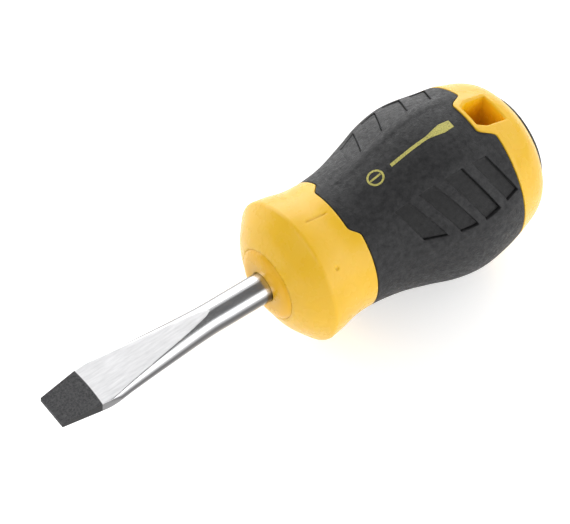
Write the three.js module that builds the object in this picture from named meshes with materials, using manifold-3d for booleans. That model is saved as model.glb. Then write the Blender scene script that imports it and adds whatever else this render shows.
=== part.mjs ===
// A stubby slotted screwdriver: a short flared blade in a fat two-colour handle.
// Millimetres, +Z up. The tool lies along X with its tip towards -X, and its hanging hole
// stands upright. The origin is on the ground under the middle of the tool.
//
// Along the tool, t is measured from the front rim of the handle: t is negative on the blade
// and positive in the handle. Round the tool, angles are in degrees from the top (+Z).
// Every piece is built with t along X and the tool's axis at zero, and one group lifts them.

import * as THREE from 'three';
import { mergeVertices } from 'three/addons/utils/BufferGeometryUtils.js';
import Module from 'manifold-3d';

const wasm = await Module();
wasm.setup();

// ---- Driving dimensions ----

const BLADE_LENGTH = 45.5;      // front rim of the handle to the tip
const TIP_HALF_WIDTH = 3.25;    // a 6.5 mm blade
const TIP_HALF_THICKNESS = 0.5;
const FLARE_HALF_WIDTH = 4.65;  // widest place of the ground sides
const FLARE_FROM_TIP = 11.5;
const WEDGE_LENGTH = 33;        // where the ground flats run out into the round shank
const SHANK_RADIUS = 2.8;
const TAIL_END = 37;            // how deep the blade's tail goes into the handle
const WING = { from: 20, to: 30, halfSpan: 4.6, halfThickness: 0.9 };

// Half width of the forged bar by distance from the tip, before its flats and sides are ground.
const BAR = [
  [0, 4.9], [10, 4.75], [14, 4.3], [18, 3.92], [24, 3.42], [29, 3.02], [WEDGE_LENGTH, SHANK_RADIUS],
];

const CORE_RADIUS = 6.8;
const CORE_END = 40;
const BOSS_CROWN = 1;           // how far the core's front stands out at its middle
const RIB = { from: 8, to: 34, height: 1.1, halfWidth: 1 };

const COLLAR_FACE = 0.3;        // where the cone of the collar starts
const CAP_SEAT = 53.7;          // rim of the pocket that holds the end cap
const CAP_POCKET_FLOOR = 50.9;
const CAP_RADIUS = 9.9;
const HANDLE_LENGTH = 55.6;

const GRIP_THICKNESS = 1.9;
const GAP = 0.3;                // left between pieces that touch

// The grip is flattened into four pads, midway between the top, the bottom and the sides.
// edgeLean is how far the slightly crowned flat leans over at its edges.
const PAD = { spacing: 90, halfAngle: 22.5, edgeLean: 6.75 };

// [t, radius] of the handle: the cone and rim of the collar, then from there to the butt, where
// its shoulder runs down to the end cap.
const COLLAR = [[1.6, 9.75], [3.1, 11.7], [4.2, 12.95], [4.8, 13.45]];
const SHOULDER = [52.7, 11.85];
const OUTLINE = [
  [5.5, 13.65], [8, 13.24], [11, 12.58], [14.6, 12.37], [20, 12.94], [26, 14.63],
  [31, 16.22], [36.5, 16.95], [42, 16.34], [47, 15.02], [51.5, 13.05],
];

// The front and rear edges of the grip step over a narrow tongue at the top and the bottom.
const FRONT_EDGE = { side: 15.1, tongue: 13.4, tongueAngle: 22, sideAngle: 32 };
const REAR_EDGE = { side: 45.5, tongue: 42.5, tongueAngle: 12.5, sideAngle: 20 };

// Four slanted recesses in each of the four pads. Angles are measured from the top.
const WINDOW = { count: 4, first: 21.7, pitch: 5.3, width: 3.35, depth: 0.7, slant: 0.117 };
const WINDOW_ANGLES = { from: 28, to: 60.5 };

// Outline of the hanging hole: half widths at its front edge and behind its cut corners.
const HOLE = { front: 43.6, corner: 45.2, rear: 49.5, frontHalfWidth: 2.15, halfWidth: 3 };

// ---- Derived values ----

const MAX_RADIUS = Math.max(...OUTLINE.map(([, radius]) => radius));
const MIDDLE_T = (HANDLE_LENGTH - BLADE_LENGTH) / 2;

const AROUND = 48;              // facets round the handle
const SHANK_FACETS = 24;

// Where the rings under the grip lie, as shares of the way from its front edge to its rear edge.
const RECESS_SHARES = [0, 0.15, 0.35, 0.55, 0.7, 0.85, 1];
const CLEAR = 20;               // how far a cutting shape reaches past what it cuts

// ---- Shape of the handle ----

// A smooth function through [x, y] points.
function curveThrough(points) {
  const curve = new THREE.CubicInterpolant(points.map(([x]) => x), points.map(([, y]) => y), 1);
  return (x) => curve.evaluate(x)[0];
}

const outlineRadius = curveThrough(OUTLINE);
const barHalfWidth = curveThrough(BAR);

// Radius of a pad's arc and how far its centre lies behind the axis, for a handle of radius 1.
const padHalfAngle = THREE.MathUtils.degToRad(PAD.halfAngle);
const padLean = THREE.MathUtils.degToRad(PAD.edgeLean);
const padArc = Math.sin(padHalfAngle) / Math.sin(padLean);
const padSetBack = Math.sin(padHalfAngle) / Math.tan(padLean) - Math.cos(padHalfAngle);

// Share of the full radius that is left where the handle is flattened into its pads.
function padShare(angle) {
  const fromPad = angle - PAD.spacing * Math.floor(angle / PAD.spacing) - PAD.spacing / 2;
  if (Math.abs(fromPad) >= PAD.halfAngle) {
    return 1;
  }
  const turn = THREE.MathUtils.degToRad(fromPad);
  return Math.sqrt(padArc ** 2 - (padSetBack * Math.sin(turn)) ** 2) - padSetBack * Math.cos(turn);
}

// The pads rise behind the waist and fade out at the butt.
function handleRadius(t, angle) {
  const fadeIn = THREE.MathUtils.smoothstep(t, 18, 27);
  const fadeOut = 1 - THREE.MathUtils.smoothstep(t, 41.5, 46.5);
  return outlineRadius(t) * THREE.MathUtils.lerp(1, padShare(angle), fadeIn * fadeOut);
}

// Angle from the nearest of top and bottom, 0 to 90 degrees.
function angleFromTongue(angle) {
  const turned = Math.abs(angle - 180 * Math.round(angle / 180));
  return Math.min(turned, 180 - turned);
}

function edgeAt(edge, angle) {
  const off = angleFromTongue(angle);
  const share = (off - edge.tongueAngle) / (edge.sideAngle - edge.tongueAngle);
  return THREE.MathUtils.lerp(edge.tongue, edge.side, THREE.MathUtils.clamp(share, 0, 1));
}

// ---- Building closed meshes ----

// A point at t, at a radius and an angle from the top; positive angles turn towards -Y.
function polar(t, radius, angle) {
  const turn = THREE.MathUtils.degToRad(angle);
  return new THREE.Vector3(t, -radius * Math.sin(turn), radius * Math.cos(turn));
}

function signedVolume(points, triangles) {
  let volume = 0;
  for (let i = 0; i < triangles.length; i += 3) {
    const [a, b, c] = [points[triangles[i]], points[triangles[i + 1]], points[triangles[i + 2]]];
    volume += a.dot(b.clone().cross(c)) / 6;
  }
  return volume;
}

function meshOf(points, triangles) {
  const outward = signedVolume(points, triangles) > 0;
  const geometry = new THREE.BufferGeometry().setFromPoints(points);
  geometry.setIndex(outward ? triangles : triangles.toReversed());
  return geometry;
}

// Joins rings of equal length into a skin. An open row of rings is closed at both ends with a
// fan; a looped one joins its last ring to its first.
function loft(rings, looped = false) {
  const count = rings[0].length;
  const points = rings.flat();
  const triangles = [];
  const rows = looped ? rings.length : rings.length - 1;
  for (let row = 0; row < rows; row += 1) {
    const next = (row + 1) % rings.length;
    for (let i = 0; i < count; i += 1) {
      const j = (i + 1) % count;
      const [a, b] = [row * count + i, row * count + j];
      const [c, d] = [next * count + i, next * count + j];
      triangles.push(a, b, d, a, d, c);
    }
  }
  if (!looped) {
    addFan(points, triangles, 0, count, false);
    addFan(points, triangles, (rings.length - 1) * count, count, true);
  }
  return meshOf(points, triangles);
}

function addFan(points, triangles, first, count, atEnd) {
  const middle = new THREE.Vector3();
  for (let i = 0; i < count; i += 1) {
    middle.add(points[first + i]);
  }
  const hub = points.push(middle.divideScalar(count)) - 1;
  for (let i = 0; i < count; i += 1) {
    const [a, b] = [first + i, first + (i + 1) % count];
    triangles.push(...(atEnd ? [hub, a, b] : [hub, b, a]));
  }
}

// A ring round the handle, from functions of the angle.
function handleRing(tAt, radiusAt) {
  return Array.from({ length: AROUND }, (_, i) => {
    const angle = (360 * i) / AROUND;
    const t = tAt(angle);
    return polar(t, radiusAt(t, angle), angle);
  });
}

function roundRing(t, radius) {
  return handleRing(() => t, () => radius);
}

// A prism along Z (or along Y when lying) from an outline of [t, side] points.
function prism(outline, halfHeight, lying = false) {
  const shape = new THREE.Shape(outline.map(([t, side]) => new THREE.Vector2(t, side)));
  const geometry = new THREE.ExtrudeGeometry(shape, { depth: 2 * halfHeight, bevelEnabled: false });
  geometry.translate(0, 0, -halfHeight);
  return lying ? geometry.rotateX(Math.PI / 2) : geometry;
}

function block(from, to, halfWidth, halfHeight) {
  const geometry = new THREE.BoxGeometry(to - from, 2 * halfWidth, 2 * halfHeight);
  return geometry.translate((from + to) / 2, 0, 0);
}

// A solid of revolution about the tool's axis from [t, radius] points.
function turned(profile) {
  const points = profile.map(([t, radius]) => new THREE.Vector2(radius, t));
  return new THREE.LatheGeometry(points, AROUND).rotateZ(-Math.PI / 2);
}

// ---- Joining and cutting ----

function toSolid(geometry) {
  const bare = geometry.clone();
  bare.deleteAttribute('normal');
  bare.deleteAttribute('uv');
  const merged = mergeVertices(bare, 1e-4);
  return new wasm.Manifold(new wasm.Mesh({
    numProp: 3,
    vertProperties: new Float32Array(merged.attributes.position.array),
    triVerts: new Uint32Array(merged.index.array),
  }));
}

function toGeometry(solid) {
  const mesh = solid.getMesh();
  const geometry = new THREE.BufferGeometry();
  geometry.setAttribute('position', new THREE.BufferAttribute(mesh.vertProperties, 3));
  geometry.setIndex(new THREE.BufferAttribute(mesh.triVerts, 1));
  return geometry;
}

function cutFrom(solid, ...cutters) {
  return cutters.reduce((left, cutter) => left.subtract(toSolid(cutter)), solid);
}

// ---- The pieces ----

function barRing(fromTip) {
  const halfWidth = fromTip < WEDGE_LENGTH ? barHalfWidth(fromTip) : SHANK_RADIUS;
  return Array.from({ length: SHANK_FACETS }, (_, i) => {
    const turn = (2 * Math.PI * i) / SHANK_FACETS;
    const t = fromTip - BLADE_LENGTH;
    return new THREE.Vector3(t, halfWidth * Math.sin(turn), SHANK_RADIUS * Math.cos(turn));
  });
}

function bladeGeometry() {
  const tip = -BLADE_LENGTH;
  const flatsEnd = tip + WEDGE_LENGTH;
  const flare = tip + FLARE_FROM_TIP;
  const stations = [0, 4, 8, 12, 15, 18, 21, 24, 27, 30, WEDGE_LENGTH, BLADE_LENGTH + TAIL_END];
  const flats = [
    [tip, -TIP_HALF_THICKNESS], [flatsEnd, -SHANK_RADIUS], [flatsEnd, -CLEAR],
    [TAIL_END, -CLEAR], [TAIL_END, CLEAR],
    [flatsEnd, CLEAR], [flatsEnd, SHANK_RADIUS], [tip, TIP_HALF_THICKNESS],
  ];
  const sides = [
    [tip, -TIP_HALF_WIDTH], [flare, -FLARE_HALF_WIDTH], [flare, -CLEAR],
    [TAIL_END, -CLEAR], [TAIL_END, CLEAR],
    [flare, CLEAR], [flare, FLARE_HALF_WIDTH], [tip, TIP_HALF_WIDTH],
  ];
  const wings = block(WING.from, WING.to, WING.halfSpan, WING.halfThickness);
  const ground = toSolid(loft(stations.map(barRing)))
    .intersect(toSolid(prism(flats, CLEAR, true)))
    .intersect(toSolid(prism(sides, CLEAR)));
  return toGeometry(ground.add(toSolid(wings)));
}

function coreGeometry() {
  const boss = turned([
    [-BOSS_CROWN, 0], [-BOSS_CROWN * 0.9, CORE_RADIUS * 0.4], [-BOSS_CROWN * 0.5, CORE_RADIUS * 0.8],
    [0, CORE_RADIUS], [CORE_END, CORE_RADIUS], [CORE_END, 0],
  ]);
  const reach = CORE_RADIUS + RIB.height;
  const shankHole = turned([
    [-CLEAR, 0], [-CLEAR, SHANK_RADIUS + GAP],
    [TAIL_END + GAP, SHANK_RADIUS + GAP], [TAIL_END + GAP, 0],
  ]);
  const wingSlot = block(WING.from - GAP, WING.to + GAP, WING.halfSpan + GAP, WING.halfThickness + GAP);
  const solid = toSolid(boss)
    .add(toSolid(block(RIB.from, RIB.to, reach, RIB.halfWidth)))
    .add(toSolid(block(RIB.from, RIB.to, RIB.halfWidth, reach)));
  return toGeometry(cutFrom(solid, shankHole, wingSlot));
}

function bodyRings() {
  const sunk = GRIP_THICKNESS + GAP;
  const frontStep = (angle) => edgeAt(FRONT_EDGE, angle) - GAP;
  const rearStep = (angle) => edgeAt(REAR_EDGE, angle) + GAP;
  const shankHole = SHANK_RADIUS + GAP;
  const recess = (share) => handleRing(
    (angle) => THREE.MathUtils.lerp(frontStep(angle), rearStep(angle), share),
    (t, angle) => handleRadius(t, angle) - sunk,
  );
  return [
    roundRing(COLLAR_FACE, shankHole), roundRing(COLLAR_FACE, CORE_RADIUS + GAP),
    ...COLLAR.map(([t, radius]) => roundRing(t, radius)),
    ...[5.5, 8, 11].map((t) => roundRing(t, outlineRadius(t))),
    handleRing(frontStep, handleRadius),
    ...RECESS_SHARES.map(recess),
    handleRing(rearStep, handleRadius),
    ...[48, 50, 51.5].map((t) => roundRing(t, outlineRadius(t))),
    roundRing(...SHOULDER), roundRing(CAP_SEAT, CAP_RADIUS + GAP), roundRing(CAP_SEAT, shankHole),
  ];
}

function bodyGeometry() {
  const coreHole = turned([
    [-CLEAR, 0], [-CLEAR, CORE_RADIUS + GAP],
    [CORE_END + GAP, CORE_RADIUS + GAP], [CORE_END + GAP, 0],
  ]);
  const capPocket = turned([
    [CAP_POCKET_FLOOR, 0], [CAP_POCKET_FLOOR, CAP_RADIUS + GAP],
    [HANDLE_LENGTH, CAP_RADIUS + GAP], [HANDLE_LENGTH, 0],
  ]);
  const hangHole = prism([
    [HOLE.front, -HOLE.frontHalfWidth], [HOLE.corner, -HOLE.halfWidth],
    [HOLE.rear, -HOLE.halfWidth], [HOLE.rear, HOLE.halfWidth],
    [HOLE.corner, HOLE.halfWidth], [HOLE.front, HOLE.frontHalfWidth],
  ], CLEAR);
  const reach = CORE_RADIUS + RIB.height + GAP;
  const slotFrom = RIB.from - GAP;
  const slotTo = RIB.to + GAP;
  const slotHalf = RIB.halfWidth + GAP;
  return toGeometry(cutFrom(
    toSolid(loft(bodyRings())), coreHole, capPocket, hangHole,
    block(slotFrom, slotTo, reach, slotHalf), block(slotFrom, slotTo, slotHalf, reach),
  ));
}

// One slanted recess: a thick patch from below the surface to well above it.
// mirrored is [1 or -1 across the tool, 1 or -1 top to bottom].
function windowCutter(index, [across, upright]) {
  const steps = 5;
  const above = 2;
  const left = WINDOW.first + index * WINDOW.pitch;
  const rings = Array.from({ length: steps + 1 }, (_, step) => {
    const off = THREE.MathUtils.lerp(WINDOW_ANGLES.from, WINDOW_ANGLES.to, step / steps);
    const angle = across * (upright > 0 ? off : 180 - off);
    const from = left + WINDOW.slant * (off - WINDOW_ANGLES.from);
    const to = from + WINDOW.width;
    return [
      polar(from, handleRadius(from, angle) - WINDOW.depth, angle),
      polar(to, handleRadius(to, angle) - WINDOW.depth, angle),
      polar(to, handleRadius(to, angle) + above, angle),
      polar(from, handleRadius(from, angle) + above, angle),
    ];
  });
  return loft(rings);
}

function gripGeometry() {
  const ring = (share, radiusAt) => handleRing(
    (angle) => THREE.MathUtils.lerp(edgeAt(FRONT_EDGE, angle), edgeAt(REAR_EDGE, angle), share),
    radiusAt,
  );
  const innerRadius = (t, angle) => handleRadius(t, angle) - GRIP_THICKNESS;
  const steps = 14;
  const sleeve = loft([
    ...Array.from({ length: steps + 1 }, (_, step) => ring(step / steps, handleRadius)),
    ...RECESS_SHARES.toReversed().map((share) => ring(share, innerRadius)),
  ], true);
  const mirrors = [[1, 1], [-1, 1], [1, -1], [-1, -1]];
  const cutters = mirrors.flatMap((mirror) =>
    Array.from({ length: WINDOW.count }, (_, index) => windowCutter(index, mirror)));
  return toGeometry(cutFrom(toSolid(sleeve), ...cutters));
}

function capGeometry() {
  const crown = HANDLE_LENGTH - CAP_SEAT;
  const steps = 6;
  const dome = Array.from({ length: steps }, (_, step) => {
    const turn = (Math.PI / 2) * (step / steps);
    return [CAP_SEAT + crown * Math.sin(turn), CAP_RADIUS * Math.cos(turn)];
  });
  const floor = CAP_POCKET_FLOOR + GAP;
  return turned([[floor, 0], [floor, CAP_RADIUS], ...dome, [HANDLE_LENGTH, 0]]);
}

// ---- The tool ----

function piece(name, geometry, color, roughness, metalness) {
  const mesh = new THREE.Mesh(geometry, new THREE.MeshStandardMaterial({ color, roughness, metalness }));
  mesh.name = name;
  return mesh;
}

const tool = new THREE.Group();
tool.position.set(-MIDDLE_T, 0, MAX_RADIUS);
tool.add(
  piece('blade', bladeGeometry(), 0xd8d8da, 0.15, 1),
  piece('core_slug', coreGeometry(), 0xeeb81e, 0.4, 0),
  piece('handle_body', bodyGeometry(), 0xf4c022, 0.35, 0),
  piece('grip_sleeve', gripGeometry(), 0x36363a, 0.75, 0),
  piece('end_cap', capGeometry(), 0x1e1e20, 0.5, 0),
);

export default tool;
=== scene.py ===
import math

import bmesh
import bpy
import numpy as np
from mathutils import Matrix, Vector


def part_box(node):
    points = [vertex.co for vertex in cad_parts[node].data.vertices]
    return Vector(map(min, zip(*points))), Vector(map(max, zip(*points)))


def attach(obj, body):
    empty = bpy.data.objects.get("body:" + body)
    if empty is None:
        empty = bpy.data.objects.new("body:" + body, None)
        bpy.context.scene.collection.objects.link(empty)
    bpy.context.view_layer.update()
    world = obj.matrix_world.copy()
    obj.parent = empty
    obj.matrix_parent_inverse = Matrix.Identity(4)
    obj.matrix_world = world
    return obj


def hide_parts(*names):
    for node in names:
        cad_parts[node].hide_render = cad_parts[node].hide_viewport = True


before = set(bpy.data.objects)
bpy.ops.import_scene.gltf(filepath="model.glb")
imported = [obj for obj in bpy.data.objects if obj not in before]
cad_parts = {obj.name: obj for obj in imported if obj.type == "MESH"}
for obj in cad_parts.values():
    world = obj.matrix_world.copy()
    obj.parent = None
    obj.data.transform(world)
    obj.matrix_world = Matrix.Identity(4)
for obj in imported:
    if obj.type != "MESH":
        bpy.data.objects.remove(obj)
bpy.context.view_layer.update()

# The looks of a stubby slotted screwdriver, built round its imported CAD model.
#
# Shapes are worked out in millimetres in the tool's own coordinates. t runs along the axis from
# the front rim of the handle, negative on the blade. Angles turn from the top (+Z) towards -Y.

MM = 0.001

# ---- Driving dimensions, the same as the CAD model's, then the finer details ----

BLADE_LENGTH = 45.5
TIP_HALF_WIDTH = 3.25
TIP_HALF_THICKNESS = 0.5
FLARE_HALF_WIDTH = 4.65
FLARE_FROM_TIP = 11.5
WEDGE_LENGTH = 33.0
SHANK_RADIUS = 2.8
DARK_TIP_LENGTH = 7.8

CORE_RADIUS = 6.8
COLLAR_FACE = 0.3
CAP_SEAT = 53.7
CAP_RADIUS = 9.9
CAP_FULLNESS = 0.75             # below 1 the cap's dome is fuller than an ellipse
HANDLE_LENGTH = 55.6
GRIP_THICKNESS = 1.9
SEAM = 0.06                     # half of the fine gap along the seams of the handle
FACETS = 96                     # flat strips round a turned piece

# Half width of the forged bar, by distance from the tip.
BAR = [(0, 4.9), (10, 4.75), (14, 4.3), (18, 3.92), (24, 3.42), (29, 3.02), (33, 2.8), (36, 2.8)]

# Radius of the handle along t: the cone of the collar, its rim, the waist, the belly, the butt.
OUTLINE = [
    (0.3, 7.1), (1.6, 9.75), (3.1, 11.7), (4.3, 13.07), (4.75, 13.52), (5.15, 13.68), (5.6, 13.64),
    (8, 13.24), (11, 12.58), (14.6, 12.37), (20, 12.94), (26, 14.63), (31, 16.22),
    (36.5, 16.95), (42, 16.34), (47, 15.02), (51.5, 13.05), (52.7, 11.85), (53.7, 10.2),
]

# Four flattened pads, midway between the top, the bottom and the sides.
PAD_SPACING = 90
PAD_HALF_ANGLE = 22.5
PAD_EDGE_LEAN = 6.75
PAD_FADE_IN = (18, 27)
PAD_FADE_OUT = (41.5, 46.5)

# Edges of the grip: t on the sides and on the tongues at the top and the bottom, and the angles
# between which one turns into the other.
FRONT_EDGE = {"side": 15.1, "tongue": 13.4, "angles": (22, 32)}
REAR_EDGE = {"side": 45.5, "tongue": 42.5, "angles": (12.5, 20)}

# How the grip rolls over at its edges: distance from the edge, then depth under the skin.
GRIP_ROLL = [(0.0, 0.9), (0.0, 0.18), (0.04, 0.07), (0.12, 0.0)]

# The slanted recesses of a pad: t of the front and the rear edge at WINDOW_ENDS, which are angles,
# then the depth at the rear edge and the share of the crevice's depth that runs along it.
WINDOW_ENDS = (28, 60)
WINDOWS = [
    ((21.9, 24.9), (25.1, 28.8), 0.14, 0.0),
    ((27.0, 30.9), (30.2, 34.4), 0.24, 0.0),
    ((32.2, 36.0), (36.1, 39.8), 0.34, 0.8),
    ((38.0, 41.7), (41.4, 44.9), 0.3, 0.4),
]
WINDOW_HOLD = 3                 # the slant carries on this many degrees past the ends
WINDOW_EASE = 1.9               # then the grid's lines ease back by this much
WINDOW_WALL = 0.15              # how far the walls lean out over their height
FRONT_DEPTH = 0.12
LOWER_DEPTH = 0.3
CREVICE_DEPTH = 0.4
CREVICE_WIDTH = 0.36

# The recesses' upper and lower ends lie on shallow arcs: the angle at a middle t, and how much it
# has risen a reach away.
UPPER_ARC = {"angle": 27.2, "rise": 2.3, "middle": 34, "reach": 12}
LOWER_ARC = {"angle": 64.4, "rise": -5.0, "middle": 34.5, "reach": 10}

FAR_LOWER_SHARE = 0.1           # share of the lower ends' depth that there is on the +Y side
FAR_REAR_SHARE = 0.7            # and the share of the crevice along the rear edges there

# The plain panel at the top and the bottom of the grip.
PANEL = {"from": 16.4, "to": 44.5, "half_angle": 20, "depth": 0.12, "ramp": 1.0}

# The mark printed along the top of the grip: a slotted screw's head, then a blade.
MARK_HEAD = {"t": 22.9, "radius": 1.55, "line": 0.36, "slot_clearance": 0.12}
MARK_BLADE = {
    "from": 26.2, "flare": 34.0, "full": 37.2, "to": 39.4,
    "shank_half": 0.32, "full_half": 1.0, "tip_half": 0.8,
}
INK_PROUD = 0.03

# The body's front: the bore round the core as (t, extra radius), the cone and the rim behind it.
CORE_BORE = [(4.0, 0.0), (0.5, 0.0), (0.33, 0.02), (COLLAR_FACE, 0.07)]
CONE_START = 0.42
COLLAR_RIM = (4.3, 5.8)

# Moulded into the collar's side: a notch along the tool, near the top, and a round dot. Each
# pair is where a slope begins and ends.
NOTCH = {"angle": 2, "front": (7.2, 7.6), "rear": (11.5, 12.0), "side": (0.08, 0.3), "depth": 0.22}
DOT = {"angle": 44, "t": 7.7, "slope": (0.2, 0.55), "depth": 0.25}

# How the body rolls into the grip's seams, as (distance from the seam, depth), and its depth below.
SEAM_LIP = [(0.06, 0.04), (0.0, 0.14)]
LIP_LENGTH = 0.15
GAP_UNDER_GRIP = 0.15

# The hanging hole: half widths at its front edge and behind its cut corners.
HOLE = {"front": 43.6, "corner": 45.2, "rear": 49.5, "front_half": 2.15, "half": 3.0}
HOLE_EDGE = 0.6                 # radius of its rounded edge
HOLE_PATCH_ANGLE = 15.5         # the hole is worked into the patch of the body within this angle
HOLE_PATCH_END = 50.4           # and up to this t
PAINTED_LIGHT_DEPTHS = (0.2, 0.9)  # painted light: between these depths under the outline the yellow turns lighter

# The pocket for the cap, and the core's front round the shank, as (t, radius).
CAP_POCKET = [(53.68, 10.28), (CAP_SEAT, 10.12), (53.6, 10.02), (53.2, 10.0), (50.95, 10.0)]
CORE_HOLE = SHANK_RADIUS + 0.03
CORE_PROFILE = [
    (9, CORE_HOLE), (2, CORE_HOLE), (-0.66, CORE_HOLE), (-0.73, CORE_HOLE + 0.05),
    (-0.76, CORE_HOLE + 0.14), (-0.78, CORE_HOLE + 0.3), (-0.79, 3.6), (-0.8, 4.1), (-0.74, 4.8),
    (-0.6, 5.35), (-0.43, 5.8), (-0.25, 6.18), (-0.12, 6.4), (0.0, 6.54), (0.12, 6.62), (0.2, 6.7),
    (0.26, CORE_RADIUS), (0.5, CORE_RADIUS), (3, CORE_RADIUS), (9, CORE_RADIUS),
]
CAP_GROOVE = {"radius": 6.4, "width": 0.28, "depth": 0.16}

# The very end of the tip, as (distance from it, inset), where its edges are broken.
TIP_EDGE = [(0.0, 0.09), (0.02, 0.045), (0.06, 0.015)]

# ---- Colours, lights and camera ----

# Yellow plastics, each clouded between a deeper and a lighter colour.
BODY_YELLOWS = ((0.69, 0.405, 0.014), (0.74, 0.445, 0.026))
CORE_YELLOWS = ((0.68, 0.365, 0.004), (0.72, 0.395, 0.008))
# Painted light: a lighter yellow for surfaces sunk under the outline, mainly inside the hanging
# hole.
PAINTED_LIGHT_YELLOWS = ((0.97, 0.58, 0.01), (0.99, 0.62, 0.02))
CLOUD_STOPS = (0.3, 0.7)

# How bright the steel is painted by the angle it faces: painted reflection and shade darken it in
# streaks low on both sides.
STEEL_PAINTED_REFLECTION = [
    (-180, 0.8), (-80, 0.16), (-50, 0.16), (-42, 0.5), (-34, 1.0), (55, 1.0), (62, 0.6),
    (73, 0.2), (86, 0.2), (96, 0.35), (125, 0.8),
]

FLOOR_HALF = 3.0                # metres
FLOOR_GLOW = 0.35               # lifts the tool's shadow on the white paper
HORIZON_GREY = 0.5
ZENITH_GREY = 0.17

# Soft lights: the direction to each, then its distance, width and height in metres, and radiance.
LIGHTS = {
    "far_softbox": ((0.2, 0.93, 0.37), 1.2, 2.4, 0.96, 3.1),
    "near_softbox": ((0.2, -0.95, 0.3), 1.2, 2.4, 0.8, 2.15),
    "far_fill": ((0.2, 0.58, 0.81), 1.2, 2.4, 0.44, 0.85),
    "near_fill": ((0.2, -0.77, 0.64), 1.2, 2.4, 0.18, 0.6),
    "front_fill": ((-0.72, -0.1, 0.68), 1.3, 1.4, 0.9, 1.7),
    "rear_fill": ((0.85, -0.1, 0.55), 1.3, 1.4, 0.9, 1.5),
}

# The camera: angles in degrees, distances in millimetres, the aim from the nose of the handle.
CAMERA = {
    "azimuth": -41.29, "elevation": 54.81, "roll": 5.01, "distance": 608.2,
    "aim": (4.47, 0.72, 2.46), "lens": 221.05, "sensor": 36,
}

# ---- Where the tool lies in the frame ----

BLADE_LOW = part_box("blade")[0]
BODY_LOW, BODY_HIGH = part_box("handle_body")
NOSE_X = BLADE_LOW.x + BLADE_LENGTH * MM
AXIS_Z = (BODY_LOW.z + BODY_HIGH.z) / 2


def to_frame(points):
    """Tool coordinates in millimetres to the frame's metres."""
    return np.asarray(points, float).reshape(-1, 3) * MM + (NOSE_X, 0, AXIS_Z)


# ---- Curves and steps ----

def smoothstep(x, start, end):
    u = np.clip((x - start) / (end - start), 0, 1)
    return u * u * (3 - 2 * u)


def curve_through(points):
    """A smooth function through (x, y) points that is straight at its ends."""
    xs, ys = np.array(points, float).T
    slopes = np.diff(ys) / np.diff(xs)
    tangents = np.concatenate([slopes[:1], (slopes[1:] + slopes[:-1]) / 2, slopes[-1:]])

    def value(x):
        x = np.clip(x, xs[0], xs[-1])
        i = np.clip(np.searchsorted(xs, x, side="right") - 1, 0, len(xs) - 2)
        step = xs[i + 1] - xs[i]
        u = (x - xs[i]) / step
        start = ys[i] * (1 + 2 * u) * (1 - u) ** 2 + tangents[i] * step * u * (1 - u) ** 2
        end = ys[i + 1] * u * u * (3 - 2 * u) - tangents[i + 1] * step * u * u * (1 - u)
        return start + end

    return value


outline_radius = curve_through(OUTLINE)
bar_half_width = curve_through(BAR)


def spaced(*stretches):
    """Numbers from (start, end, steps) stretches, each starting where the one before ends."""
    rows = [np.linspace(start, end, steps + 1)[:-1] for start, end, steps in stretches]
    return np.concatenate([*rows, [stretches[-1][1]]])


# ---- Shape of the handle ----

def from_tongue(angle):
    """Angle from the nearer of the top and the bottom, 0 to 90 degrees."""
    turned = np.abs(angle - 180 * np.round(np.asarray(angle) / 180))
    return np.minimum(turned, 180 - turned)


def pad_share(angle):
    """Share of the full radius that is left where the handle is flattened into its pads."""
    half = math.radians(PAD_HALF_ANGLE)
    lean = math.radians(PAD_EDGE_LEAN)
    arc = math.sin(half) / math.sin(lean)
    set_back = math.sin(half) / math.tan(lean) - math.cos(half)
    turned = angle - PAD_SPACING * np.floor(angle / PAD_SPACING) - PAD_SPACING / 2
    turn = np.radians(np.clip(turned, -PAD_HALF_ANGLE, PAD_HALF_ANGLE))
    return np.sqrt(arc ** 2 - (set_back * np.sin(turn)) ** 2) - set_back * np.cos(turn)


def handle_radius(t, angle):
    """Radius of the handle, with its pads, before anything is sunk into it."""
    fade = smoothstep(t, *PAD_FADE_IN) * (1 - smoothstep(t, *PAD_FADE_OUT))
    return outline_radius(t) * (1 + (pad_share(angle) - 1) * fade)


def edge_at(edge, angle):
    """t of the grip's front or rear edge at an angle."""
    start, end = edge["angles"]
    share = smoothstep(from_tongue(angle), start - 1, end + 1)
    return edge["tongue"] + (edge["side"] - edge["tongue"]) * share


def polar(t, radius, angle):
    """Points in tool coordinates."""
    turn = np.radians(angle)
    t = np.broadcast_to(t, np.broadcast(t, radius, angle).shape)
    return np.stack([t, -radius * np.sin(turn), radius * np.cos(turn)], axis=-1)


# ---- Meshes ----

def around(quarter):
    """Angles round the tool from a quarter's angles, which run from 0 to 90 degrees."""
    onward = quarter[:-1]
    backward = quarter[:0:-1]
    return np.concatenate([onward, 180 - backward, 180 + onward, 360 - backward])


def grid_faces(rows, columns, loop_rows=False, skip=()):
    """Quads over a grid of points whose columns close in a loop, without the cells in skip."""
    faces = []
    for i in range(rows if loop_rows else rows - 1):
        for j in range(columns):
            if (i, j) in skip:
                continue
            below = (i + 1) % rows
            right = (j + 1) % columns
            faces.append((i * columns + j, i * columns + right,
                          below * columns + right, below * columns + j))
    return faces


def add_piece(name, points, faces, material, sharp_degrees=None, shares=None):
    """A smooth-shaded object from tool coordinates, riding on the tool's one body.

    shares holds lists of one number for each point, by name, for its material to read."""
    mesh = bpy.data.meshes.new(name)
    mesh.from_pydata(to_frame(points).tolist(), [], faces)
    for share_name, values in (shares or {}).items():
        attribute = mesh.attributes.new(share_name, "FLOAT", "POINT")
        attribute.data.foreach_set("value", np.asarray(values, np.float32).ravel())
    work = bmesh.new()
    work.from_mesh(mesh)
    bmesh.ops.recalc_face_normals(work, faces=work.faces)
    work.to_mesh(mesh)
    work.free()
    mesh.shade_smooth()
    if sharp_degrees is not None:
        mesh.set_sharp_from_angle(angle=math.radians(sharp_degrees))
    piece = bpy.data.objects.new(name, mesh)
    bpy.context.scene.collection.objects.link(piece)
    mesh.materials.append(material)
    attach(piece, "root")
    return piece


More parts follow.
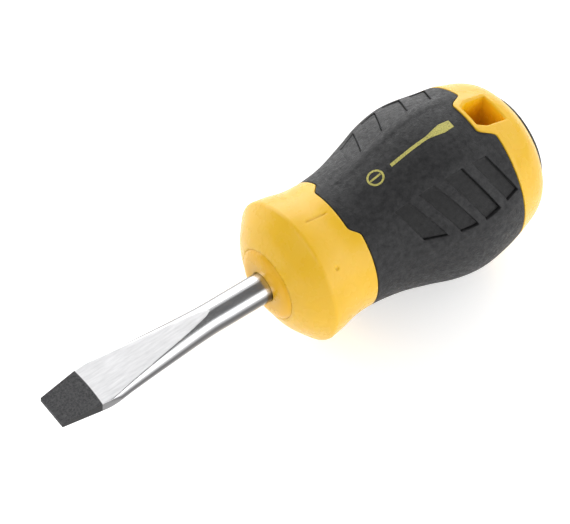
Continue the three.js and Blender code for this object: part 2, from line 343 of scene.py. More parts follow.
def turned_points(profile):
    """A (t, radius) profile spun about the axis, as a grid of points with FACETS columns."""
    profile = np.array(profile, float)
    angles = np.arange(FACETS) * 360 / FACETS
    return polar(profile[:, :1], profile[:, 1:], angles[None, :])


def disc(points, first, count):
    """Closes a ring of points with a fan."""
    hub = len(points)
    points.append(np.mean(points[first:first + count], axis=0))
    return [(first + i, first + (i + 1) % count, hub) for i in range(count)]


# ---- The grip ----

def window_line(ends, off):
    """t of a recess's edge line at an angle from the tongue; the line eases off past its ends."""
    upper, lower = WINDOW_ENDS
    held = np.clip(off, upper - WINDOW_HOLD, lower + WINDOW_HOLD)
    slant = (ends[1] - ends[0]) / (lower - upper)
    easing = WINDOW_EASE * smoothstep(off, lower + 2, 90)
    return ends[0] + slant * (held - upper) - easing


def angle_on_arc(arc, t):
    """Angle from the tongue, at t, of the line along the recesses' upper or lower ends."""
    return arc["angle"] + arc["rise"] * ((t - arc["middle"]) / arc["reach"]) ** 2


def recesses(t, angle):
    """How deep the grip's surface lies under the handle's outline, and its share of recess for the
    painted shade and duller finish.
    """
    off = from_tongue(angle)
    depth = np.zeros(np.broadcast(t, off).shape)
    recess_shade_and_finish = np.zeros_like(depth)
    near = angle % 360 <= 180   # the -Y side
    lower_share = np.where(near, 1.0, FAR_LOWER_SHARE)
    upper, lower = angle_on_arc(UPPER_ARC, t), angle_on_arc(LOWER_ARC, t)
    degrees = np.degrees(1 / outline_radius(t))
    wall = WINDOW_WALL * degrees
    crevice = CREVICE_WIDTH * degrees
    for front_ends, rear_ends, rear_depth, rear_crevice in WINDOWS:
        front = window_line(front_ends, off)
        rear = window_line(rear_ends, off)
        along = np.clip((t - front) / (rear - front), 0, 1)
        down = np.clip((off - upper) / (lower - upper), 0, 1)
        floor = FRONT_DEPTH + (rear_depth - FRONT_DEPTH) * along
        floor = floor + (LOWER_DEPTH - FRONT_DEPTH) * lower_share * down ** 2
        lower_cut = lower_share * smoothstep(off, lower - crevice, lower - wall)
        rear_share = np.where(near, rear_crevice, FAR_REAR_SHARE)
        rear_cut = rear_share * smoothstep(t, rear - CREVICE_WIDTH, rear - WINDOW_WALL)
        floor = floor + CREVICE_DEPTH * np.maximum(lower_cut, rear_cut)
        inside = (
            smoothstep(t, front, front + WINDOW_WALL) * smoothstep(-t, -rear, -rear + WINDOW_WALL)
            * smoothstep(off, upper, upper + wall) * smoothstep(-off, -lower, -lower + wall)
        )
        depth = depth + floor * inside
        # Painted shade: the recess share is full on the -Y side and a tenth of that on the +Y side.
        recess_shade_and_finish = recess_shade_and_finish + inside * lower_share
    return depth + panel_depth(t, off), recess_shade_and_finish


def panel_depth(t, off):
    """How deep the plain panels at the top and the bottom are sunk."""
    ramp = PANEL["ramp"]
    side = off * np.radians(outline_radius(t))
    limit = PANEL["half_angle"] * np.radians(outline_radius(t))
    inside = (
        smoothstep(t, PANEL["from"], PANEL["from"] + ramp)
        * smoothstep(-t, -PANEL["to"], -PANEL["to"] + ramp)
        * smoothstep(-side, -limit, -limit + ramp)
    )
    return PANEL["depth"] * inside


def window_row(ends, shift):
    """A row of the grip's grid along a recess's front or rear edge, shifted along the tool."""
    return lambda off: window_line(ends, off) + shift


def rows_between(one, other, shares):
    """Rows part of the way from one row to another."""
    return [lambda off, s=share: one(off) * (1 - s) + other(off) * s for share in shares]


def grip_rows():
    """Functions of the angle from the tongue that give t along each row of the grip's grid."""
    rolled = 0.25               # the grip's edges are rolled this far in
    beside = 0.1                # a strip outside a recess's edge
    within = WINDOW_WALL + 0.15     # the front wall and a strip of the floor behind it
    foot = CREVICE_WIDTH + 0.1      # the crevice and a strip of the floor before it
    front_shifts = spaced((-beside, 0, 1), (0, WINDOW_WALL, 4), (WINDOW_WALL, within, 1))
    rear_shifts = spaced((-foot, -CREVICE_WIDTH, 1), (-CREVICE_WIDTH, -WINDOW_WALL, 4),
                         (-WINDOW_WALL, 0, 4), (0, beside, 1))

    rows = rows_between(
        lambda off: edge_at(FRONT_EDGE, off) + rolled,
        window_row(WINDOWS[0][0], -beside),
        np.linspace(0, 1, 19)[:-1],
    )
    for i, (front, rear, *_) in enumerate(WINDOWS):
        rows += [window_row(front, shift) for shift in front_shifts]
        rows += rows_between(
            window_row(front, within), window_row(rear, -foot), np.linspace(0, 1, 8)[1:-1])
        rows += [window_row(rear, shift) for shift in rear_shifts]
        if i + 1 < len(WINDOWS):
            next_front = WINDOWS[i + 1][0]
            rows += rows_between(
                window_row(rear, beside), window_row(next_front, -beside),
                np.linspace(0, 1, 6)[1:-1])
    rows += rows_between(
        window_row(WINDOWS[-1][1], beside),
        lambda off: edge_at(REAR_EDGE, off) - rolled,
        np.linspace(0, 1, 10)[1:],
    )
    return rows


def grip_quarter(row):
    """Angles of a quarter's columns on a row, with columns along the recesses' ends."""
    high_t = np.clip(row(np.array(WINDOW_ENDS[0])), WINDOWS[0][0][0], WINDOWS[-1][1][0])
    low_t = np.clip(row(np.array(WINDOW_ENDS[1])), WINDOWS[0][0][1], WINDOWS[-1][1][1])
    high_degrees = math.degrees(1 / outline_radius(high_t))
    low_degrees = math.degrees(1 / outline_radius(low_t))
    wall = WINDOW_WALL * high_degrees
    low_wall = WINDOW_WALL * low_degrees
    crevice = CREVICE_WIDTH * low_degrees
    ramp = PANEL["ramp"] * high_degrees
    panel = PANEL["half_angle"]
    beside = 0.4                # a strip outside the recesses' ends
    upper, lower = angle_on_arc(UPPER_ARC, high_t), angle_on_arc(LOWER_ARC, low_t)
    return spaced(
        (0, panel - ramp, 10), (panel - ramp, panel, 5), (panel, upper - beside, 4),
        (upper - beside, upper, 1), (upper, upper + wall, 4), (upper + wall, lower - crevice, 18),
        (lower - crevice, lower - low_wall, 4), (lower - low_wall, lower, 4),
        (lower, lower + beside, 1), (lower + beside, 70, 4), (70, 90, 9),
    )


def grip_rim(edge, inward):
    """Rows that roll the grip's surface over into its front or rear face."""
    angles = around(grip_quarter(lambda off: edge_at(edge, off)))
    rows = []
    for along, depth in GRIP_ROLL:
        t = edge_at(edge, angles) + inward * (SEAM + along)
        rows.append(polar(t, handle_radius(t, angles) - depth, angles))
    return rows


def grip_lining():
    """Rows along the inside of the grip, from its rear to its front."""
    angles = around(grip_quarter(lambda off: edge_at(FRONT_EDGE, off)))
    first = edge_at(FRONT_EDGE, angles)
    rows = []
    for share in np.linspace(1, 0, 12):
        t = first + (edge_at(REAR_EDGE, angles) - first) * share
        rows.append(polar(t, handle_radius(t, angles) - GRIP_THICKNESS, angles))
    return rows


def build_grip(material):
    outer = []
    shares = []
    for row in grip_rows():
        angles = around(grip_quarter(row))
        t = row(from_tongue(angles))
        depth, recess_shade_and_finish = recesses(t, angles)
        outer.append(polar(t, handle_radius(t, angles) - depth, angles))
        shares.append(recess_shade_and_finish)
    front = grip_rim(FRONT_EDGE, 1)
    rear = grip_rim(REAR_EDGE, -1)
    grid = np.array(front + outer + rear[::-1] + grip_lining())
    recess_shade_and_finish = np.zeros(grid.shape[:2])
    recess_shade_and_finish[len(front):len(front) + len(outer)] = shares
    faces = grid_faces(grid.shape[0], grid.shape[1], loop_rows=True)
    grip = add_piece("soft_grip", grid, faces, material, shares={"recess_shade_and_finish": recess_shade_and_finish})
    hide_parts("grip_sleeve")


# ---- The printed mark: a slotted screw's head and a blade ----

def on_grip(flat):
    """Points of the grip's skin under (t, across) points, at the top and just inside it."""
    t, across = np.asarray(flat, float).T
    skin = outline_radius(t) - panel_depth(t, np.zeros_like(t))
    angles = np.degrees(across / skin)
    return polar(t, skin + INK_PROUD, angles), polar(t, skin - INK_PROUD, angles)


def ribbon(points, faces, stations, looped=False):
    """Adds a thin raised strip that runs through stations, which are rows of (t, across) points."""
    width = len(stations[0])
    first = len(points)
    for station in stations:
        top, bottom = on_grip(station)
        points.extend([*top, *bottom[::-1]])
    faces += [tuple(first + k for k in face)
              for face in grid_faces(len(stations), 2 * width, loop_rows=looped)]
    if not looped:
        last = first + (len(stations) - 1) * 2 * width
        faces.append(tuple(range(first, first + 2 * width)))
        faces.append(tuple(range(last, last + 2 * width)))


def tapered_bar(t_from, t_to, half_from, half_to):
    """Stations of a straight bar, from one half width to another."""
    return [
        [(t, half * side) for side in np.linspace(-1, 1, 7)]
        for t, half in zip(np.linspace(t_from, t_to, 9), np.linspace(half_from, half_to, 9))
    ]


def build_mark(material):
    points, faces = [], []
    head, radius, line = MARK_HEAD["t"], MARK_HEAD["radius"], MARK_HEAD["line"]
    ring = [
        [(head + r * math.cos(turn), r * math.sin(turn)) for r in (radius - line, radius)]
        for turn in np.linspace(0, 2 * math.pi, 48, endpoint=False)
    ]
    ribbon(points, faces, ring, looped=True)
    slot = radius - line - MARK_HEAD["slot_clearance"]
    ribbon(points, faces, tapered_bar(head - slot, head + slot, line / 2, line / 2))
    ends = [MARK_BLADE[name] for name in ("from", "flare", "full", "to")]
    halves = [MARK_BLADE[name] for name in ("shank_half", "shank_half", "full_half", "tip_half")]
    for k in range(3):
        ribbon(points, faces, tapered_bar(ends[k], ends[k + 1], halves[k], halves[k + 1]))
    add_piece("type_mark", points, faces, material, sharp_degrees=30)


# ---- The yellow body ----

def body_columns():
    """Angles round the body, and how many columns lie on each side of the hanging hole's middle."""
    hole_side = spaced((0, 4, 8), (4, HOLE_PATCH_ANGLE, 8))
    by_dot = (DOT["angle"] - 2.5, DOT["angle"] + 2.5)
    rest = spaced((HOLE_PATCH_ANGLE, by_dot[0], 14), (*by_dot, 10), (by_dot[1], 90, 22))[1:]
    return around(np.concatenate([hole_side, rest])), len(hole_side) - 1


def collar_marks(t, angle):
    """Depth of the small notch and the dot moulded into the collar."""
    turned = angle - 360 * np.round(angle / 360)
    around_mm = np.radians(outline_radius(t))
    across = np.abs(turned - NOTCH["angle"]) * around_mm
    front, rear, side = NOTCH["front"], NOTCH["rear"], NOTCH["side"]
    notch = (
        smoothstep(t, *front)
        * smoothstep(-t, -rear[1], -rear[0])
        * smoothstep(-across, -side[1], -side[0])
    )
    from_dot = np.hypot(t - DOT["t"], (turned - DOT["angle"]) * around_mm)
    dot = smoothstep(-from_dot, -DOT["slope"][1], -DOT["slope"][0])
    return NOTCH["depth"] * notch + DOT["depth"] * dot


def hole_limits():
    """The hanging hole's outline as half planes in (t, y): their directions and distances."""
    middle = (HOLE["front"] + HOLE["rear"]) / 2
    cut = np.array([HOLE["front_half"] - HOLE["half"], HOLE["corner"] - HOLE["front"]])
    cut /= np.linalg.norm(cut)
    reach = cut @ (HOLE["corner"] - middle, HOLE["half"])
    half_length = HOLE["rear"] - middle
    return middle, [
        ((-1, 0), half_length), ((1, 0), half_length), ((0, 1), HOLE["half"]),
        ((0, -1), HOLE["half"]), (cut, reach), ((cut[0], -cut[1]), reach),
    ]


def hole_point(directions, offset):
    """Points of the hole's outline, moved outwards by an offset, in (t, y) directions."""
    middle, limits = hole_limits()
    sharpness = 60              # higher makes its corners crisper
    total = np.zeros(len(directions))
    for normal, reach in limits:
        facing = np.maximum(directions @ np.asarray(normal, float), 0)
        total += (facing / (reach + offset)) ** sharpness
    distance = total ** (-1 / sharpness)
    return directions * distance[:, None] + (middle, 0)


def on_surface(flat, depth):
    """Points of the top of the handle under (t, y) points."""
    t, y = flat[:, 0], flat[:, 1]
    z = np.sqrt((outline_radius(t) - depth) ** 2 - y ** 2)
    return np.stack([t, y, z], axis=-1)


def collar_rows(angles, seam):
    """The body's rows from the bore round the core to the lip at the grip's front seam."""
    bore = CORE_RADIUS + SEAM / 2
    rows = [polar(t, bore + wider, angles) for t, wider in CORE_BORE]
    rim_start, rim_end = COLLAR_RIM
    for t in spaced((CONE_START, rim_start, 12), (rim_start, rim_end, 14)):
        rows.append(polar(t, outline_radius(t), angles))
    for share in spaced((0.03, 0.14, 3), (0.14, 0.3, 9), (0.3, 1, 18)):
        t = rim_end + (seam - LIP_LENGTH - rim_end) * share
        rows.append(polar(t, handle_radius(t, angles) - collar_marks(t, angles), angles))
    return rows


def seat_rows(angles, front, rear):
    """The body's rows from the lip at one seam, along under the grip, to the lip at the other."""
    sunk = GRIP_THICKNESS + GAP_UNDER_GRIP
    lip = [*SEAM_LIP, (0.0, sunk)]
    rows = []
    for along, depth in lip:
        t = front - along
        rows.append(polar(t, handle_radius(t, angles) - depth, angles))
    for share in np.linspace(0.08, 0.92, 12):
        t = front + (rear - front) * share
        rows.append(polar(t, handle_radius(t, angles) - sunk, angles))
    for along, depth in [*lip[::-1], (LIP_LENGTH, 0.0)]:
        t = rear + along
        rows.append(polar(t, handle_radius(t, angles) - depth, angles))
    return rows


def build_body(material):
    angles, side = body_columns()
    columns = len(angles)
    front = edge_at(FRONT_EDGE, angles) - SEAM
    rear = edge_at(REAR_EDGE, angles) + SEAM
    rows = collar_rows(angles, front) + seat_rows(angles, front, rear)
    hole_first = len(rows) - 1
    for share in spaced((0.04, 1, 24)):
        t = rear + LIP_LENGTH + (HOLE_PATCH_END - rear - LIP_LENGTH) * share
        rows.append(polar(t, handle_radius(t, angles), angles))
    hole_last = len(rows) - 1
    for t in spaced((50.7, 51.5, 3), (51.5, 53.55, 10)):
        rows.append(polar(t, outline_radius(t), angles))
    rows += [polar(t, radius, angles) for t, radius in CAP_POCKET]

    grid = np.array(rows)
    patch = set()
    for i in range(hole_first, hole_last):
        for j in range(-side, side):
            patch.add((i, j % columns))
            patch.add((i, (columns // 2 + j) % columns))
    faces = grid_faces(len(rows), columns, skip=patch)
    points = list(grid.reshape(-1, 3))
    faces += disc(points, 0, columns)
    faces += disc(points, (len(rows) - 1) * columns, columns)
    faces += hole_faces(points, grid, hole_first, hole_last, side)
    t, y, z = np.array(points).T
    # Painted light: how far each point is sunk under the outline sets its share of the lighter
    # yellow.
    bore = smoothstep(outline_radius(t) - np.hypot(y, z), *PAINTED_LIGHT_DEPTHS)
    body = add_piece("handle_shell", points, faces, material, shares={"bore": bore})
    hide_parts("handle_body")


def hole_rims(outer):
    """Loops of points from the patch's outline to the hole's, and over its rounded edge."""
    middle = (hole_limits()[0], 0)
    directions = outer - middle
    directions /= np.linalg.norm(directions, axis=1)[:, None]
    rims = []
    start = hole_point(directions, HOLE_EDGE + 0.05)
    for share in (0.35, 0.7, 1.0):
        rims.append(on_surface(outer * (1 - share) + start * share, 0))
    for turn in np.radians([20, 40, 60, 75, 90]):
        offset = HOLE_EDGE * (1 - math.sin(turn))
        depth = HOLE_EDGE * (1 - math.cos(turn))
        rims.append(on_surface(hole_point(directions, offset), depth))
    return rims


def hole_faces(points, grid, first, last, side):
    """The hanging hole, from the opening left at the top through to the one at the bottom."""
    columns = grid.shape[1]
    loop = [(first, j) for j in range(-side, side)]
    loop += [(i, side) for i in range(first, last)]
    loop += [(last, j) for j in range(side, -side, -1)]
    loop += [(i, -side) for i in range(last, first, -1)]
    count = len(loop)
    top = [i * columns + j % columns for i, j in loop]
    bottom = [i * columns + (columns // 2 - j) % columns for i, j in loop]
    rims = hole_rims(np.array([points[k][:2] for k in top]))
    walls = [rims[-1] * (1, 1, share) for share in np.linspace(1, -1, 16)[1:-1]]
    mirrored = [rim * (1, 1, -1) for rim in rims[::-1]]

    rings = [top]
    for ring in rims + walls + mirrored:
        rings.append(range(len(points), len(points) + count))
        points.extend(ring)
    rings.append(bottom)
    faces = []
    for above, below in zip(rings[:-1], rings[1:]):
        for k in range(count):
            after = (k + 1) % count
            faces.append((above[k], above[after], below[after], below[k]))
    return faces


# ---- The core's front, which shows round the shank ----

def build_core(material):
    grid = turned_points(CORE_PROFILE)
    core = add_piece("core_boss", grid, grid_faces(*grid.shape[:2], loop_rows=True), material)
    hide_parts("core_slug")


# ---- The end cap ----

def build_cap(material):
    crown = HANDLE_LENGTH - CAP_SEAT
    dome = []
    for turn in np.radians(np.linspace(8, 88, 30)):
        radius = CAP_RADIUS * math.cos(turn)
        from_groove = (radius - CAP_GROOVE["radius"]) / CAP_GROOVE["width"]
        groove = CAP_GROOVE["depth"] * math.exp(-from_groove ** 2)
        dome.append((CAP_SEAT + crown * math.sin(turn) ** CAP_FULLNESS - groove, radius))
    skirt = [(51.2, CAP_RADIUS), (53.3, CAP_RADIUS), (CAP_SEAT - 0.05, CAP_RADIUS - 0.01)]
    grid = turned_points([*skirt, *dome])
    rows = len(grid)
    points = list(grid.reshape(-1, 3))
    faces = grid_faces(rows, FACETS)
    faces += disc(points, 0, FACETS)
    faces += disc(points, (rows - 1) * FACETS, FACETS)
    cap = add_piece("butt_cap", points, faces, material, sharp_degrees=40)
    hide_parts("end_cap")


# ---- The blade ----

def section_halves(from_tip, inset, bar_half):
    """Half width and half height between the ground faces, held just outside the forged bar."""
    outside = 1.3
    slope = (SHANK_RADIUS - TIP_HALF_THICKNESS) / WEDGE_LENGTH
    half_height = TIP_HALF_THICKNESS + slope * from_tip - inset
    flare = (FLARE_HALF_WIDTH - TIP_HALF_WIDTH) / FLARE_FROM_TIP
    half_width = TIP_HALF_WIDTH + flare * from_tip - inset
    return min(half_width, bar_half * outside), min(half_height, SHANK_RADIUS * outside)


def corner_turns(half_width, half_height, bar_half):
    """Turns, in a section's own squashed coordinates, of the flat's edge and the side's edge."""
    flat_share = min(half_height, SHANK_RADIUS) / SHANK_RADIUS
    flat_edge = min(bar_half * math.sqrt(1 - flat_share ** 2), half_width)
    side_share = min(half_width, bar_half) / bar_half
    side_edge = min(SHANK_RADIUS * math.sqrt(1 - side_share ** 2), half_height)
    first = math.degrees(math.atan2(flat_edge / half_width, 1))
    second = math.degrees(math.atan2(1, side_edge / half_height))
    return first, second


def section_turns(half_width, half_height, bar_half):
    """Turns of a section's points, crowded at the edges of its ground faces."""
    apart = 5
    crowd = 2
    first, second = corner_turns(half_width, half_height, bar_half)
    if second - first < apart:
        middle = (first + second) / 2
        first, second = middle - apart / 2, middle + apart / 2
    first = min(max(first, apart / 2), 80)
    second = min(max(second, first + apart), 90 - apart / 2)
    return np.radians(around(spaced(
        (0, first - crowd, 7), (first - crowd, first + crowd, 6),
        (first + crowd, second - crowd, 8), (second - crowd, second + crowd, 6),
        (second + crowd, 90, 3),
    )))


def blade_ring(from_tip, inset=0.0):
    """A section of the blade: the forged bar's ellipse, cut by the ground flats and sides.

    Beside its points it gives whether each is on a ground flat and on a ground side."""
    sharpness = 70              # higher makes its edges crisper
    bar_half = float(bar_half_width(from_tip))
    half_width, half_height = section_halves(from_tip, inset, bar_half)
    turns = section_turns(half_width, half_height, bar_half)
    across = half_width * np.sin(turns)
    upright = half_height * np.cos(turns)
    flatness = np.abs(np.cos(turns))
    sideness = np.abs(np.sin(turns))
    forged = np.sqrt((across / bar_half) ** 2 + (upright / SHANK_RADIUS) ** 2)
    total = flatness ** sharpness + sideness ** sharpness + forged ** sharpness
    scale = total ** (-1 / sharpness)
    t = np.full(turns.shape, from_tip - BLADE_LENGTH)
    on_flat = flatness > sideness
    ground = np.maximum(flatness, sideness) > forged
    kinds = np.stack([ground & on_flat, ground & ~on_flat], axis=-1)
    return np.stack([t, -across * scale, upright * scale], axis=-1), kinds


def build_blade(material):
    rings = [blade_ring(from_tip, inset) for from_tip, inset in TIP_EDGE]
    for from_tip in spaced((0.12, 36, 90), (36, BLADE_LENGTH + 8, 12)):
        rings.append(blade_ring(from_tip))
    grid = np.array([points for points, _ in rings])
    kinds = np.array([kind for _, kind in rings]).reshape(-1, 2)
    count = grid.shape[1]
    points = list(grid.reshape(-1, 3))
    faces = grid_faces(len(rings), count)
    faces += disc(points, 0, count)
    faces += disc(points, (len(rings) - 1) * count, count)
    kinds = np.concatenate([kinds, [[True, False], [False, False]]])
    shares = {"ground_flat": kinds[:, 0], "ground_side": kinds[:, 1]}
    blade = add_piece("slotted_blade", points, faces, material, sharp_degrees=50, shares=shares)
    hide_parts("blade")


# ---- Materials ----

class Nodes:
    """A short way to build a material's nodes."""

    # A Mix node has sockets for several kinds of value. These are the ones for colours.
    MIX_ONE, MIX_OTHER, MIX_RESULT = 6, 7, 2

    def __init__(self, name):
        self.material = bpy.data.materials.new(name)
        self.material.use_nodes = True
        self.tree = self.material.node_tree
        self.shader = self.tree.nodes["Principled BSDF"]
        self.coordinates = self.add("ShaderNodeTexCoord").outputs["Object"]

    def add(self, kind, **settings):
        node = self.tree.nodes.new(kind)
        for key, value in settings.items():
            setattr(node, key, value)
        return node

    def link(self, source, target):
        self.tree.links.new(source, target)

    def stretched(self, scale):
        """Coordinates that make a noise longer along an axis whose scale is low."""
        mapping = self.add("ShaderNodeMapping")
        mapping.inputs["Scale"].default_value = scale
        self.link(self.coordinates, mapping.inputs["Vector"])
        return mapping.outputs["Vector"]

    def noise(self, per_mm, detail=3.0, roughness=0.5, vector=None):
        node = self.add("ShaderNodeTexNoise")
        node.inputs["Scale"].default_value = per_mm / MM
        node.inputs["Detail"].default_value = detail
        node.inputs["Roughness"].default_value = roughness
        self.link(vector or self.coordinates, node.inputs["Vector"])
        return node.outputs["Fac"]

    def ramp(self, value, *stops):
        """Values or colours by position along value, from (position, value) stops."""
        node = self.add("ShaderNodeValToRGB")
        elements = node.color_ramp.elements
        while len(elements) < len(stops):
            elements.new(0.5)
        for element, (position, shade) in zip(elements, stops):
            element.position = position
            colour = shade if isinstance(shade, tuple) else (shade, shade, shade)
            element.color = (*colour, 1)
        self.link(value, node.inputs["Fac"])
        return node.outputs["Color"]

    def mix(self, share, one, other):
        node = self.add("ShaderNodeMix", data_type="RGBA")
        self.link(share, node.inputs["Factor"])
        self.link(one, node.inputs[self.MIX_ONE])
        self.link(other, node.inputs[self.MIX_OTHER])
        return node.outputs[self.MIX_RESULT]

    def by_direction(self, *stops):
        """A ramp over the angle that the surface faces round the axis, from (degrees, value)."""
        split = self.add("ShaderNodeSeparateXYZ")
        self.link(self.add("ShaderNodeNewGeometry").outputs["Normal"], split.inputs[0])
        across = self.math("MULTIPLY", split.outputs["Y"], -1.0)
        turn = self.math("ARCTAN2", across, split.outputs["Z"])
        share = self.math("ADD", self.math("MULTIPLY", turn, 0.5 / math.pi), 0.5)
        return self.ramp(share, *[(degrees / 360 + 0.5, value) for degrees, value in stops])

    def shaded(self, share, colour):
        """A colour that a share of 0 turns black."""
        node = self.add("ShaderNodeMix", data_type="RGBA", blend_type="MULTIPLY")
        node.inputs["Factor"].default_value = 1.0
        self.link(colour, node.inputs[self.MIX_ONE])
        self.link(share, node.inputs[self.MIX_OTHER])
        return node.outputs[self.MIX_RESULT]

    def math(self, operation, one, other=None):
        node = self.add("ShaderNodeMath", operation=operation)
        for socket, value in zip(node.inputs, (one, other)):
            if isinstance(value, (int, float)):
                socket.default_value = value
            elif value is not None:
                self.link(value, socket)
        return node.outputs["Value"]

    def share(self, name):
        """A number that the mesh holds for each of its points, or 0 if it holds none."""
        return self.add("ShaderNodeAttribute", attribute_name=name).outputs["Fac"]

    def bump(self, height, distance_mm, strength=1.0, normal=None):
        node = self.add("ShaderNodeBump")
        node.inputs["Distance"].default_value = distance_mm * MM
        node.inputs["Strength"].default_value = strength
        self.link(height, node.inputs["Height"])
        if normal is not None:
            self.link(normal, node.inputs["Normal"])
        return node.outputs["Normal"]

    def finish(self, **sockets):
        """Sets or links the shader's sockets, named with _ for a space."""
        for name, value in sockets.items():
            socket = self.shader.inputs[name.replace("_", " ")]
            if isinstance(value, bpy.types.NodeSocket):
                self.link(value, socket)
            else:
                socket.default_value = value
        return self.material


def yellow_plastic(name, yellows, roughness):
    """Satin plastic, clouded and finely grained, painted a lighter yellow deeper down in the
    hanging hole as painted light.
    """
    nodes = Nodes(name)
    cloud = nodes.noise(0.06, detail=4)
    skin = nodes.ramp(cloud, *zip(CLOUD_STOPS, yellows))
    # Painted light: the bore share mixes in the lighter yellow on sunk surfaces.
    bore = nodes.ramp(cloud, *zip(CLOUD_STOPS, PAINTED_LIGHT_YELLOWS))
    colour = nodes.mix(nodes.share("bore"), skin, bore)
    worn = nodes.noise(0.35, detail=5)
    rough = nodes.ramp(worn, (0.3, roughness - 0.04), (0.7, roughness + 0.05))
    grain = nodes.bump(nodes.noise(3.5, detail=3), 0.012, 0.5)
    normal = nodes.bump(nodes.noise(0.25, detail=2), 0.05, 0.25, normal=grain)
    return nodes.finish(
        Base_Color=colour, Roughness=rough, Normal=normal,
        Subsurface_Weight=0.12, Subsurface_Radius=(1.0, 0.5, 0.1), Subsurface_Scale=0.0015,
        Specular_IOR_Level=0.36,
    )


def grip_rubber():
    """Soft rubber with a leathery mottling, duller in the recesses and painted darker there as
    painted shade.
    """
    nodes = Nodes("grip_rubber")
    cloud = nodes.noise(0.9, detail=5, roughness=0.65)
    raised = nodes.ramp(cloud, (0.35, (0.010, 0.010, 0.011)), (0.65, (0.028, 0.028, 0.029)))
    # Painted shade: the darker colour of the recesses.
    sunk = nodes.ramp(cloud, (0.3, (0.010, 0.010, 0.0105)), (0.7, (0.016, 0.016, 0.0165)))
    recess_shade_and_finish = nodes.share("recess_shade_and_finish")
    colour = nodes.mix(recess_shade_and_finish, raised, sunk)
    worn = nodes.noise(1.2, detail=5, roughness=0.65)
    raised_rough = nodes.ramp(worn, (0.35, 0.42), (0.65, 0.66))
    sunk_rough = nodes.ramp(worn, (0.35, 0.5), (0.65, 0.7))
    rough = nodes.mix(recess_shade_and_finish, raised_rough, sunk_rough)
    grain = nodes.bump(nodes.noise(2.6, detail=4, roughness=0.7), 0.12, 1.0)
    normal = nodes.bump(nodes.noise(0.8, detail=3), 0.15, 0.5, normal=grain)
    return nodes.finish(Base_Color=colour, Roughness=rough, Normal=normal, Specular_IOR_Level=0.26)


def cap_plastic():
    """Matt black plastic, a little uneven."""
    nodes = Nodes("cap_plastic")
    colour = nodes.ramp(nodes.noise(0.2, detail=4), (0.3, 0.018), (0.7, 0.028))
    rough = nodes.ramp(nodes.noise(0.8, detail=5), (0.3, 0.6), (0.7, 0.72))
    normal = nodes.bump(nodes.noise(5.0, detail=3), 0.02, 0.5)
    return nodes.finish(Base_Color=colour, Roughness=rough, Normal=normal, Specular_IOR_Level=0.22)


def plated_share(nodes):
    """0 on the dark tip and 1 behind it. The edge between them bows, so it is longest mid-width."""
    bow = 12.0                  # per metre
    fade = 0.12 * MM            # width of the edge
    tip_x = BLADE_LOW.x + DARK_TIP_LENGTH * MM
    split = nodes.add("ShaderNodeSeparateXYZ")
    nodes.link(nodes.coordinates, split.inputs[0])
    bowed = nodes.math("MULTIPLY", nodes.math("POWER", split.outputs["Y"], 2.0), bow)
    behind = nodes.math("SUBTRACT", nodes.math("ADD", split.outputs["X"], bowed), tip_x)
    share = nodes.math("MULTIPLY", behind, 1 / fade)
    return nodes.math("MINIMUM", nodes.math("MAXIMUM", share, 0.0), 1.0)


def blade_steel():
    """Bright plate that is satin where the blade is ground, with a dark blasted tip and painted
    reflection bands.
    """
    nodes = Nodes("blade_steel")
    plated = plated_share(nodes)
    flat = nodes.share("ground_flat")
    side = nodes.share("ground_side")
    ground = nodes.math("MAXIMUM", flat, side)

    grain = nodes.noise(2.6, detail=4, roughness=0.75)
    dark = nodes.ramp(grain, (0.35, (0.018, 0.018, 0.02)), (0.65, (0.08, 0.08, 0.082)))
    streaks = nodes.noise(2.2, detail=5, roughness=0.6, vector=nodes.stretched((0.12, 1, 1)))
    smooth = nodes.ramp(streaks, (0.3, (0.60, 0.60, 0.615)), (0.7, (0.66, 0.66, 0.67)))
    satin = nodes.ramp(streaks, (0.3, (0.71, 0.71, 0.72)), (0.7, (0.87, 0.87, 0.88)))
    sides = nodes.ramp(streaks, (0.3, (0.84, 0.84, 0.85)), (0.7, (0.98, 0.98, 0.99)))
    bright = nodes.mix(side, nodes.mix(flat, smooth, satin), sides)
    # Painted reflection and shade: the steel's colour is darkened in bands by the angle it faces
    # round the axis.
    colour = nodes.shaded(nodes.by_direction(*STEEL_PAINTED_REFLECTION), nodes.mix(plated, dark, bright))

    smooth_rough = nodes.ramp(streaks, (0.3, 0.19), (0.7, 0.26))
    satin_rough = nodes.ramp(streaks, (0.3, 0.46), (0.7, 0.54))
    dark_rough = nodes.ramp(grain, (0.3, 0.55), (0.7, 0.7))
    bright_rough = nodes.mix(ground, smooth_rough, satin_rough)
    rough = nodes.mix(plated, dark_rough, bright_rough)
    metal = nodes.ramp(plated, (0.0, 0.3), (1.0, 1.0))
    blasted = nodes.math("MULTIPLY", grain, nodes.math("SUBTRACT", 1.0, plated))
    scored = nodes.math("MULTIPLY", streaks, ground)
    fine = nodes.bump(blasted, 0.05, 0.6)
    normal = nodes.bump(scored, 0.02, 0.5, normal=fine)
    return nodes.finish(Base_Color=colour, Roughness=rough, Metallic=metal, Normal=normal)


def mark_ink():
    """Thin yellow ink over the black rubber, worn in fine specks."""
    nodes = Nodes("mark_ink")
    specks = nodes.noise(4.5, detail=5, roughness=0.7)
    colour = nodes.ramp(specks, (0.38, (0.20, 0.19, 0.05)), (0.52, (0.46, 0.42, 0.10)))
    normal = nodes.bump(nodes.noise(4.0, detail=4), 0.02, 0.4)
    return nodes.finish(Base_Color=colour, Roughness=0.6, Normal=normal)


# ---- Floor, light and camera ----

def build_floor():
    nodes = Nodes("floor_paper")
    colour = nodes.ramp(nodes.noise(0.02, detail=3), (0.3, 0.93), (0.7, 0.95))
    material = nodes.finish(Base_Color=colour, Roughness=0.9, Emission_Color=(1, 1, 1, 1),
                            Emission_Strength=FLOOR_GLOW)
    mesh = bpy.data.meshes.new("floor")
    corners = [(FLOOR_HALF * x, FLOOR_HALF * y, 0) for x, y in ((-1, -1), (1, -1), (1, 1), (-1, 1))]
    mesh.from_pydata(corners, [], [(0, 1, 2, 3)])
    mesh.materials.append(material)
    floor = bpy.data.objects.new("floor", mesh)
    bpy.context.scene.collection.objects.link(floor)


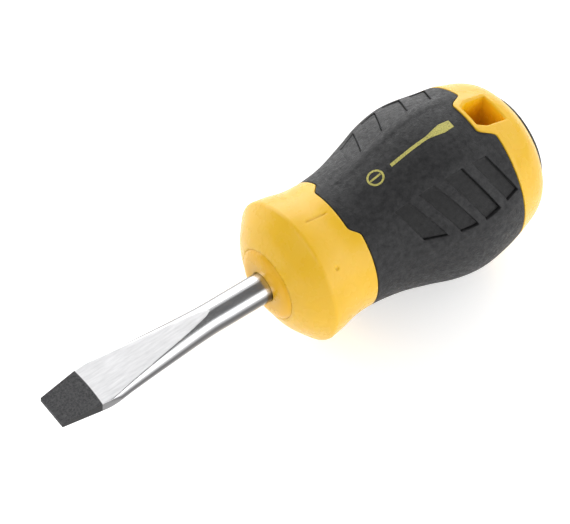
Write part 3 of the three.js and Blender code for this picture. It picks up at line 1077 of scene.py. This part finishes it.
def build_world():
    """A dim room that grows lighter towards the horizon."""
    world = bpy.data.worlds.new("studio")
    world.use_nodes = True
    tree = world.node_tree
    background = tree.nodes["Background"]
    direction = tree.nodes.new("ShaderNodeTexCoord").outputs["Generated"]
    split = tree.nodes.new("ShaderNodeSeparateXYZ")
    ramp = tree.nodes.new("ShaderNodeValToRGB")
    tree.links.new(direction, split.inputs[0])
    tree.links.new(split.outputs["Z"], ramp.inputs["Fac"])
    tree.links.new(ramp.outputs["Color"], background.inputs["Color"])
    horizon, zenith = ramp.color_ramp.elements
    horizon.position = 0.0
    horizon.color = (HORIZON_GREY, HORIZON_GREY, HORIZON_GREY, 1)
    zenith.position = 0.5
    zenith.color = (ZENITH_GREY, ZENITH_GREY, ZENITH_GREY, 1)
    background.inputs["Strength"].default_value = 1.0
    bpy.context.scene.world = world


def soft_light(name, towards, distance, width, height, radiance):
    """A rectangular light that faces the tool from a direction."""
    data = bpy.data.lights.new(name, "AREA")
    data.shape = "RECTANGLE"
    data.size = width
    data.size_y = height
    data.energy = radiance * math.pi * width * height
    light = bpy.data.objects.new(name, data)
    direction = Vector(towards).normalized()
    light.location = direction * distance
    light.rotation_mode = "QUATERNION"
    light.rotation_quaternion = direction.to_track_quat("Z", "Y")
    bpy.context.scene.collection.objects.link(light)


def build_camera():
    azimuth, elevation, roll = (math.radians(CAMERA[k]) for k in ("azimuth", "elevation", "roll"))
    aim = Vector((NOSE_X, 0, AXIS_Z)) + Vector(CAMERA["aim"]) * MM
    back = Vector((math.sin(azimuth) * math.cos(elevation),
                   -math.cos(azimuth) * math.cos(elevation), math.sin(elevation)))
    level = Vector((math.cos(azimuth), math.sin(azimuth), 0))
    above = back.cross(level)
    right = level * math.cos(roll) + above * math.sin(roll)
    up = back.cross(right)
    data = bpy.data.cameras.new("camera")
    data.sensor_width = CAMERA["sensor"]
    data.lens = CAMERA["lens"]
    camera = bpy.data.objects.new("camera", data)
    place = Matrix((right, up, back)).transposed().to_4x4()
    place.translation = aim + back * CAMERA["distance"] * MM
    camera.matrix_world = place
    bpy.context.scene.collection.objects.link(camera)
    bpy.context.scene.camera = camera


# ---- The scene ----

build_grip(grip_rubber())
build_mark(mark_ink())
build_body(yellow_plastic("handle_plastic", BODY_YELLOWS, 0.27))
build_core(yellow_plastic("core_plastic", CORE_YELLOWS, 0.29))
build_cap(cap_plastic())
build_blade(blade_steel())
build_floor()
build_world()
for light_name, place_and_size in LIGHTS.items():
    soft_light(light_name, *place_and_size)
build_camera()
bpy.context.scene.view_settings.view_transform = "Standard"
